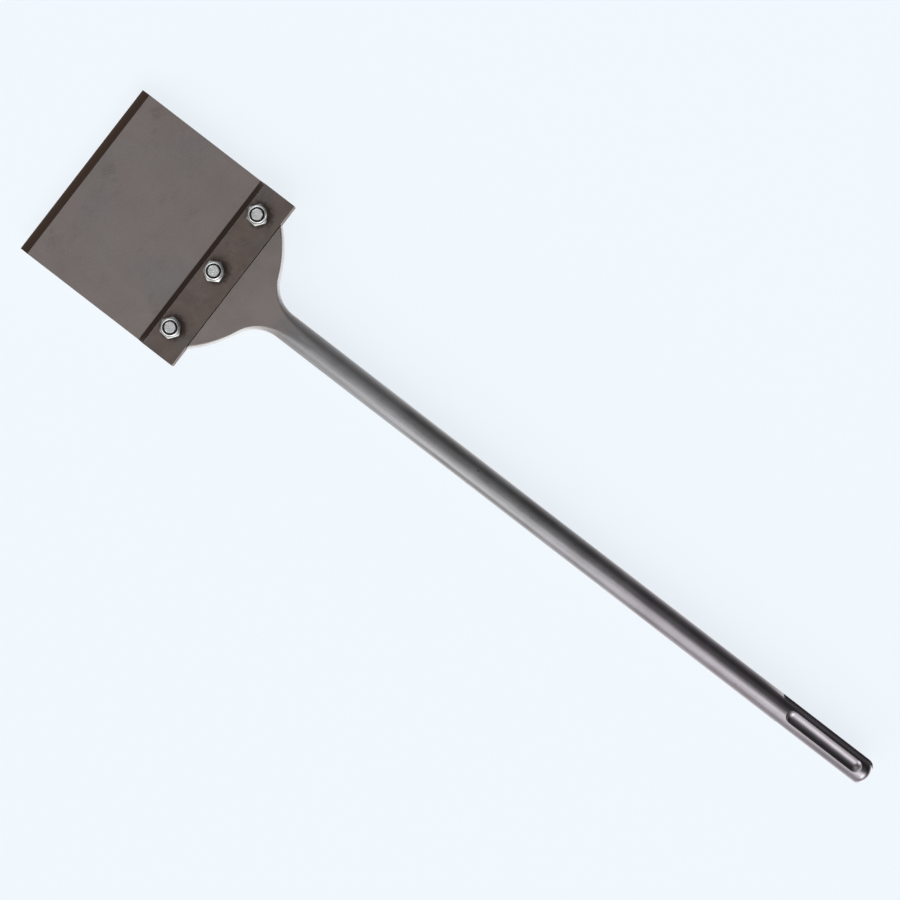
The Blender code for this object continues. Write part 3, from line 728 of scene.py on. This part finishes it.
def groove_cutter(sizes, side):
    """Lying cylinder with ball ends whose axis is outside the rod, up or down."""
    half = sizes.groove_width / 2
    sag = sizes.groove_depth - ROD_RADIUS + sqrt(ROD_RADIUS ** 2 - half ** 2)
    radius = (half ** 2 + sag ** 2) / (2 * sag)
    reach = sqrt(radius ** 2 - (radius - sizes.groove_depth) ** 2)
    near = -sizes.groove_setback - reach
    far = -sizes.groove_setback - sizes.groove_length + reach
    steps, pole = 12, 0.05              # a tiny flat stays at each pole, in parts of a step
    turns = [pi / 2 * (at + pole) / (steps + pole) for at in range(steps + 1)]
    profile = [(radius * sin(turn), near + radius * cos(turn)) for turn in turns]
    profile += [(radius * sin(turn), far - radius * cos(turn)) for turn in reversed(turns)]
    cutter = add_turned("groove_cutter", profile, 96)
    cutter.rotation_euler = (0.0, pi / 2, 0.0)
    cutter.location = (0.0, 0.0, side * (ROD_RADIUS - sizes.groove_depth + radius))
    return settle(cutter, "groove_cutter")


def slot_cutter(sizes, run, angle):
    """Straight key slot open at the struck end; its blind end slopes up as a mill leaves it."""
    half = sizes.slot_width / 2
    cutter = add_block("slot_cutter", (-run, ROD_RADIUS - sizes.slot_depth, -half),
                       (REACH, ROD_RADIUS + REACH, half))
    end_slope = Vector((-1.0, -1.3, 0.0)).normalized()
    slice_off(cutter, (-run, ROD_RADIUS, 0.0), end_slope)
    cutter.rotation_euler = (angle, 0.0, 0.0)
    return settle(cutter, "slot_cutter")


def make_body(sizes):
    body = loft("forged_body", body_sections(sizes))
    recess = add_block("recess", (BODY_LOW.x - REACH, BLADE_LOW.y - REACH, TONGUE_TOP),
                       (SHOULDER_X, BLADE_HIGH.y + REACH, HEAD_TOP + REACH))
    combine(body, recess)
    drop = TONGUE_TOP + HEAD_TOP - sizes.nose_thickness
    slice_off(body, (BODY_LOW.x + sizes.nose_length, 0.0, -HEAD_TOP),
              Vector((-drop, 0.0, -sizes.nose_length)).normalized())
    for side in SIDES:
        hole = add_upright("hole", 48, BOLT_RADIUS + sizes.hole_clearance,
                           -HEAD_TOP - REACH, HEAD_TOP, bolt_place(side))
        combine(body, hole)
    break_edges(body, sizes.edge_break, angle=radians(50))
    for side in (1, -1):
        combine(body, groove_cutter(sizes, side))
    for run, angle in ((sizes.single_slot, pi), (sizes.paired_slot, sizes.paired_angle),
                       (sizes.paired_slot, -sizes.paired_angle)):
        combine(body, slot_cutter(sizes, run, angle))
    sheen_end = SHOULDER_X + sizes.side_sheen_length
    # Side faces that get the painted reflection
    mark(body, "side_sheen", lambda centre, normal: SHOULDER_X < centre.x < sheen_end
         and abs(normal.z) < 0.8 and abs(normal.y) > 0.1)
    shade(body)
    return body


# Blade and clamp plate ---------------------------------------------------------------
def tilted_face(normal):
    """True for a face that lies along none of the three axes."""
    return max(abs(normal.x), abs(normal.y), abs(normal.z)) < 0.999


def make_blade(sizes):
    blade = add_block("ground_blade", BLADE_LOW, BLADE_HIGH)
    drop = BLADE_HIGH.z - BLADE_LOW.z - sizes.cutting_land
    slope = Vector((-drop, 0.0, sizes.cutting_bevel)).normalized()
    slice_off(blade, (BLADE_LOW.x + sizes.cutting_bevel, 0.0, BLADE_HIGH.z), slope)
    radius = BOLT_RADIUS + sizes.hole_clearance
    half = radius * 0.999               # just inside the round end, so no faces coincide
    for side in SIDES:
        x, y = bolt_place(side)
        slot = add_upright("slot", 48, radius, BLADE_LOW.z - REACH, BLADE_HIGH.z + REACH, (x, y))
        mouth = add_block("mouth", (x, y - half, BLADE_LOW.z - REACH),
                          (BLADE_HIGH.x + REACH, y + half, BLADE_HIGH.z + REACH))
        combine(blade, slot)
        combine(blade, mouth)
    break_edges(blade, sizes.edge_break * 0.6)
    ground_end = BLADE_LOW.x + sizes.cutting_bevel
    # Ground bevel, darkened: part heat tint, part painted dark reflection
    mark(blade, "ground", lambda centre, normal: centre.x < ground_end and normal.z > 0.5)
    # Bevelled edges: rubbed bright and painted as highlights
    mark(blade, "worn_and_glint", lambda centre, normal: tilted_face(normal) and centre.x > ground_end)
    shade(blade)
    return blade


def make_clamp(sizes):
    plate = add_block("clamp_bar", CLAMP_LOW, CLAMP_HIGH)
    drop = CLAMP_HIGH.z - CLAMP_LOW.z - sizes.clamp_land
    slope = Vector((-drop, 0.0, sizes.clamp_bevel)).normalized()
    slice_off(plate, (CLAMP_LOW.x + sizes.clamp_bevel, 0.0, CLAMP_HIGH.z), slope)
    for side in SIDES:
        hole = add_upright("hole", 48, BOLT_RADIUS + sizes.hole_clearance,
                           CLAMP_LOW.z - REACH, CLAMP_HIGH.z + REACH, bolt_place(side))
        combine(plate, hole)
    break_edges(plate, sizes.edge_break)
    # Front slope, darkened: part scale, part painted dark reflection
    mark(plate, "ground", lambda centre, normal: normal.dot(slope) > 0.99)
    # Bevelled edges: rubbed bright and painted as highlights
    mark(plate, "worn_and_glint", lambda centre, normal: tilted_face(normal)
         and normal.dot(slope) < 0.99)
    shade(plate)
    return plate


# Bolts, nuts and inserts -------------------------------------------------------------
def hexagon(name, bottom, top, limit):
    """A hexagon bar with its corners turned off by a turned shape that limits it."""
    bar = add_upright(name, 6, HEX_RADIUS, bottom, top)
    combine(bar, limit, "INTERSECT")
    return bar


def threaded_shank(sizes, bottom, top, thread_start):
    """A closed cylinder whose rings follow a helical thread above thread_start."""
    rings_per_turn = 8
    cuts = int((top - thread_start) / sizes.thread_pitch * rings_per_turn)
    shank = add_upright("shank", 32, BOLT_RADIUS, bottom, top)
    pick(shank)
    bpy.ops.object.mode_set(mode="EDIT")
    bpy.ops.mesh.select_all(action="DESELECT")
    bpy.ops.mesh.select_mode(type="EDGE")
    shape = bmesh.from_edit_mesh(shank.data)
    for edge in shape.edges:
        low, high = sorted(vert.co.z for vert in edge.verts)
        edge.select_set(high - low > REACH)
    bmesh.update_edit_mesh(shank.data)
    bpy.ops.mesh.subdivide(number_cuts=cuts)
    shape = bmesh.from_edit_mesh(shank.data)
    heights = sorted({round(vert.co.z, 7) for vert in shape.verts})
    step = (top - thread_start) / (len(heights) - 2)
    depth = sizes.thread_pitch * 0.54   # a standard thread is about this deep
    crest = 1.25                        # above 1 leaves a flat on each ridge
    for vert in shape.verts:
        rank = heights.index(round(vert.co.z, 7))
        if rank:
            vert.co.z = thread_start + (rank - 1) * step
        turn = (vert.co.z - thread_start) / sizes.thread_pitch
        phase = turn - Vector((vert.co.x, vert.co.y)).angle_signed(Vector((1, 0))) / (2 * pi)
        ridge = 1 - abs(2 * (phase - floor(phase)) - 1)
        run_in = smooth_step(vert.co.z, thread_start, thread_start + sizes.thread_pitch)
        run_out = min((top - vert.co.z) / sizes.bolt_chamfer, 1.0)
        radius = BOLT_RADIUS - depth * (1 - min(1.0, ridge * crest)) * run_in
        radius = min(radius, BOLT_RADIUS - sizes.bolt_chamfer * (1 - run_out))
        share = radius / BOLT_RADIUS
        vert.co.x *= share
        vert.co.y *= share
    bmesh.update_edit_mesh(shank.data)
    bpy.ops.object.mode_set(mode="OBJECT")
    return shank


def make_bolt_pattern(sizes):
    under = BOLT_LOW.z + sizes.bolt_head
    outside = HEX_RADIUS + 0.0002       # clears the corners between the turned-off ends
    turned_off, washer_face = 0.0007, 0.0002
    limit = add_turned("limit", [(BEARING_RADIUS, BOLT_LOW.z),
                                 (outside, BOLT_LOW.z + turned_off),
                                 (outside, under - washer_face - 0.0001),
                                 (BEARING_RADIUS, under - washer_face),
                                 (BEARING_RADIUS, under)], 96)
    bolt = hexagon("bolt", BOLT_LOW.z - REACH, under + REACH, limit)
    thread_start = CLAMP_HIGH.z - 0.002 # inside the clamp plate's hole
    shank = threaded_shank(sizes, under - REACH, BOLT_HIGH.z, thread_start)
    combine(bolt, shank, "UNION")
    end = BOLT_HIGH.z - 0.0001          # faces above this are the cropped end
    mark(bolt, "cropped", lambda centre, normal: centre.z > end)
    # Painted shade on the thread and the end chamfer
    mark(bolt, "recess_shade", lambda centre, normal: 0.8 if under < centre.z < end else 0.0)
    shade(bolt, radians(20))
    return bolt


def make_nut_pattern(sizes):
    """Hexagon with turned-off corners under a round collar crimped in over its insert."""
    base, top = NUT_LOW.z, NUT_HIGH.z
    height = top - base
    collar = HEX_FLATS / 2 - sizes.collar_step
    lip = BOLT_RADIUS + sizes.lip_clearance
    outside = HEX_RADIUS + 0.0001
    slope = (HEX_RADIUS - BEARING_RADIUS) * tan(pi / 6)
    root, root_height = 0.0002, 0.0003  # small hollow where the collar meets the hexagon
    shoulder = sizes.nut_hex
    crown, mouth = sizes.collar_crown, sizes.collar_mouth
    limit = [(BEARING_RADIUS, 0.0), (outside, slope), (outside, shoulder - slope),
             (BEARING_RADIUS, shoulder), (collar + root, shoulder + 0.00005),
             (collar, shoulder + root_height)]
    limit += [(collar - crown * (1 - cos(turn)), height - crown * (1 - sin(turn)))
              for turn in arc_steps(0.0, pi / 2, 8)]
    limit += [(collar - crown - mouth * sin(turn), height - mouth * (1 - cos(turn)))
              for turn in arc_steps(0.0, pi / 2, 6)[1:]]
    limit.append((lip, height - sizes.lip_depth))
    nut = hexagon("nut", -REACH, height + REACH, add_turned("limit", limit, 96))
    cavity = RING_LOW.z - base - FACE_GAP
    wall = RING_HIGH.y + FACE_GAP
    lip_thickness = 0.00015
    under_lip = height - sizes.lip_depth - lip_thickness
    thread = BOLT_RADIUS + FACE_GAP
    bore = add_turned("bore", [(lip, height + REACH), (lip, under_lip), (wall, under_lip),
                               (wall, cavity), (thread, cavity), (thread, -REACH)], 64)
    combine(nut, bore)
    break_edges(nut, 0.0001, segments=1, angle=radians(40))

    # Painted shade: the bore under the lip nearly black, the hexagon's facets darker
    def recess_shade(centre, normal):
        from_axis = Vector((centre.x, centre.y)).length
        if from_axis < lip + 0.0002:
            return 0.95
        return 0.6 if from_axis > collar + 0.00005 and centre.z < shoulder + root else 0.0

    mark(nut, "recess_shade", recess_shade)
    shade(nut, radians(20))
    return nut


def make_insert_pattern():
    inner = BOLT_RADIUS + FACE_GAP
    outer = RING_HIGH.y
    low, high = RING_LOW.z - NUT_LOW.z, RING_HIGH.z - NUT_LOW.z
    soft = 0.00012                      # rounding of the ring's edges
    return add_turned("insert", [(inner, low + soft), (inner, high - soft), (inner + soft, high),
                                 (outer - soft, high), (outer, high - soft), (outer, low + soft),
                                 (outer - soft, low), (inner + soft, low), (inner, low + soft)],
                      64)


# Stage -------------------------------------------------------------------------------
CAMERA_DISTANCE = 1.28
VIEW_WIDTH = 0.5847                     # width of the view at the rod's axis
SENSOR = 0.036
VIEW_CENTRE = (-0.3433, 0.0017)
VIEW_TURN = radians(37.65)
FLOOR_RADIUS = 4.0
SWEEP_RADIUS = 3.0
SURROUND_LEVEL = 0.002                  # brightness of the surround between its lamps

# Name, colour, strength, focus, and the azimuth from +X and elevation it shines from, in degrees
SOFT_LAMPS = (
    ("low side window", "#ffffff", 3.0, 14.0, -104.0, 20.0),
    ("high key", "#ffffff", 4.2, 12.0, -43.0, 45.0),
    ("table glow behind", "#ffffff", 5.3, 3.7, 166.0, -37.0),
    ("table glow in front", "#ffffff", 1.0, 2.4, -94.0, -49.0),
    ("overhead fill", "#ffffff", 0.65, 8.9, 147.0, 63.0),
    ("table glow, right of the rod", "#ffffff", 3.6, 12.0, 28.0, -28.0),
    ("table glow, left of the rod", "#ffffff", 3.2, 12.0, -28.0, -28.0),
)


def add_camera():
    data = bpy.data.cameras.new("camera")
    data.sensor_width = SENSOR * 1000
    data.lens = data.sensor_width * CAMERA_DISTANCE / VIEW_WIDTH
    camera = bpy.data.objects.new("camera", data)
    camera.location = (*VIEW_CENTRE, CAMERA_DISTANCE)
    camera.rotation_euler = (0.0, 0.0, VIEW_TURN)
    bpy.context.scene.collection.objects.link(camera)
    bpy.context.scene.camera = camera


def add_surround():
    """A dim surround with broad soft lamps; each fades away from its middle."""
    world = bpy.data.worlds.new("surround")
    world.use_nodes = True
    tree = world.node_tree
    tree.nodes.clear()
    direction = add_node(tree, "ShaderNodeTexCoord").outputs["Generated"]
    glow = (SURROUND_LEVEL, SURROUND_LEVEL, SURROUND_LEVEL)
    for name, hex_colour, strength, focus, azimuth, elevation in SOFT_LAMPS:
        turn, rise = radians(azimuth), radians(elevation)
        toward = (cos(rise) * cos(turn), cos(rise) * sin(turn), sin(rise))
        along = add_node(tree, "ShaderNodeVectorMath", {0: direction, 1: toward},
                         operation="DOT_PRODUCT", label=name)
        fall = add_node(tree, "ShaderNodeMath", {0: along.outputs["Value"], 1: focus, 2: -focus},
                        operation="MULTIPLY_ADD")
        fade = add_node(tree, "ShaderNodeMath", {0: fall}, operation="EXPONENT")
        full = [strength * channel for channel in linear(hex_colour)]
        lamp = add_node(tree, "ShaderNodeVectorMath", {0: full, "Scale": fade},
                        operation="SCALE")
        glow = add_node(tree, "ShaderNodeVectorMath", {0: glow, 1: lamp}, operation="ADD")
    background = add_node(tree, "ShaderNodeBackground", {"Color": glow})
    add_node(tree, "ShaderNodeOutputWorld", {"Surface": background})
    bpy.context.scene.world = world


def add_floor(colours):
    """A wide floor that curves up at its rim. Only the camera sees it: the metal mirrors the
    surround's lamps instead, and the rim doesn't shade them."""
    bpy.ops.object.select_all(action="DESELECT")
    bpy.ops.mesh.primitive_circle_add(vertices=96, radius=FLOOR_RADIUS, fill_type="NGON",
                                      location=(VIEW_CENTRE[0], VIEW_CENTRE[1], FLOOR_Z))
    ground = settle(bpy.context.object, "floor")
    bpy.ops.object.mode_set(mode="EDIT")
    bpy.ops.mesh.select_all(action="DESELECT")
    bpy.ops.mesh.select_non_manifold()
    steps = 10
    radius, height = FLOOR_RADIUS, 0.0
    for step in range(1, steps + 1):
        turn = pi / 2 * step / steps
        wider = FLOOR_RADIUS + SWEEP_RADIUS * sin(turn)
        higher = SWEEP_RADIUS * (1 - cos(turn))
        bpy.ops.mesh.extrude_region_move(
            TRANSFORM_OT_translate={"value": (0.0, 0.0, higher - height)})
        share = wider / radius
        bpy.ops.transform.resize(value=(share, share, 1.0),
                                 center_override=(*VIEW_CENTRE, 0.0))
        radius, height = wider, higher
    bpy.ops.mesh.select_all(action="SELECT")
    bpy.ops.mesh.normals_make_consistent(inside=True)
    bpy.ops.object.mode_set(mode="OBJECT")
    bpy.ops.object.shade_smooth_by_angle(angle=radians(30))
    ground.data.materials.append(pale_floor(colours))
    ground.visible_glossy = False
    ground.visible_diffuse = False
    ground.visible_transmission = False
    ground.visible_shadow = False


def make_stage(colours):
    bpy.context.scene.view_settings.view_transform = "Standard"
    add_camera()
    add_surround()
    add_floor(colours)


# Operators and panel -----------------------------------------------------------------
class SCRAPER_OT_stage(bpy.types.Operator):
    """Set out the floor, the soft light and the camera"""
    bl_idname = "scraper.stage"
    bl_label = "Stage"

    def execute(self, context):
        make_stage(context.scene.scraper_colours)
        return {"FINISHED"}


class SCRAPER_OT_body(bpy.types.Operator):
    """Model the forged head, neck, rod and slotted shank"""
    bl_idname = "scraper.body"
    bl_label = "Forged body"

    def execute(self, context):
        body = make_body(context.scene.scraper_sizes)
        dress(body, forged_and_drawn_steel(context.scene.scraper_colours),
              "chisel", "forged_steel", "chisel_body")
        return {"FINISHED"}


class SCRAPER_OT_blade(bpy.types.Operator):
    """Model the flat blade with its ground cutting edge"""
    bl_idname = "scraper.blade"
    bl_label = "Blade"

    def execute(self, context):
        colours = context.scene.scraper_colours
        steel = plate_steel("satin blade steel", colours, colours.blade, colours.ground,
                            cloud_mm=34, contrast=0.08, roughness=0.5, nut_shadow=False)
        dress(make_blade(context.scene.scraper_sizes), steel,
              "blade", "blade_steel", "scraper_blade")
        return {"FINISHED"}


class SCRAPER_OT_clamp(bpy.types.Operator):
    """Model the clamp plate with its sloped front edge"""
    bl_idname = "scraper.clamp"
    bl_label = "Clamp plate"

    def execute(self, context):
        colours = context.scene.scraper_colours
        steel = plate_steel("dark heat-treated plate", colours, colours.clamp, colours.scale,
                            cloud_mm=13, contrast=0.14, roughness=0.5, nut_shadow=True)
        dress(make_clamp(context.scene.scraper_sizes), steel,
              "clamp", "oxidised_steel", "clamp_plate")
        return {"FINISHED"}


class SCRAPER_OT_fasteners(bpy.types.Operator):
    """Model the bolts, lock nuts and nylon inserts"""
    bl_idname = "scraper.fasteners"
    bl_label = "Bolts and nuts"

    def execute(self, context):
        sizes = context.scene.scraper_sizes
        zinc = zinc_plate(context.scene.scraper_colours)
        nylon = moulded_nylon(context.scene.scraper_colours)
        bolt = make_bolt_pattern(sizes)
        nut = make_nut_pattern(sizes)
        insert = make_insert_pattern()
        shade(insert)
        for side in SIDES:
            x, y = bolt_place(side)
            turn = NUT_TURNS[side] - HEX_CORNER
            dress(place_copy(bolt, f"hex_bolt_{side}", (x, y, 0.0)), zinc,
                  "chisel", "zinc_plated_steel", f"bolt_{side}")
            dress(place_copy(nut, f"collar_nut_{side}", (x, y, NUT_LOW.z), turn), zinc,
                  f"nut_{side}", "zinc_plated_steel", f"lock_nut_{side}")
            dress(place_copy(insert, f"insert_ring_{side}", (x, y, NUT_LOW.z), turn), nylon,
                  f"nut_{side}", "nylon", f"nylon_insert_{side}")
        for pattern in (bolt, nut, insert):
            bpy.data.objects.remove(pattern, do_unlink=True)
        return {"FINISHED"}


class SCRAPER_PT_panel(bpy.types.Panel):
    """Sizes, colours and steps of the floor scraper chisel"""
    bl_label = "Floor scraper chisel"
    bl_space_type = "VIEW_3D"
    bl_region_type = "UI"
    bl_category = "Scraper"

    def draw(self, context):
        for operator in OPERATORS:
            self.layout.operator(operator.bl_idname)
        for group in (context.scene.scraper_sizes, context.scene.scraper_colours):
            column = self.layout.column(align=True)
            for name in group.__annotations__:
                column.prop(group, name)


OPERATORS = (SCRAPER_OT_stage, SCRAPER_OT_body, SCRAPER_OT_blade, SCRAPER_OT_clamp,
             SCRAPER_OT_fasteners)
CLASSES = (ScraperSizes, ScraperColours, *OPERATORS, SCRAPER_PT_panel)


def register():
    for item in CLASSES:
        bpy.utils.register_class(item)
    bpy.types.Scene.scraper_sizes = PointerProperty(type=ScraperSizes)
    bpy.types.Scene.scraper_colours = PointerProperty(type=ScraperColours)


def unregister():
    del bpy.types.Scene.scraper_colours
    del bpy.types.Scene.scraper_sizes
    for item in reversed(CLASSES):
        bpy.utils.unregister_class(item)


def main():
    register()
    bpy.ops.scraper.stage()
    bpy.ops.scraper.body()
    bpy.ops.scraper.blade()
    bpy.ops.scraper.clamp()
    bpy.ops.scraper.fasteners()


if __name__ == "__main__":
    main()
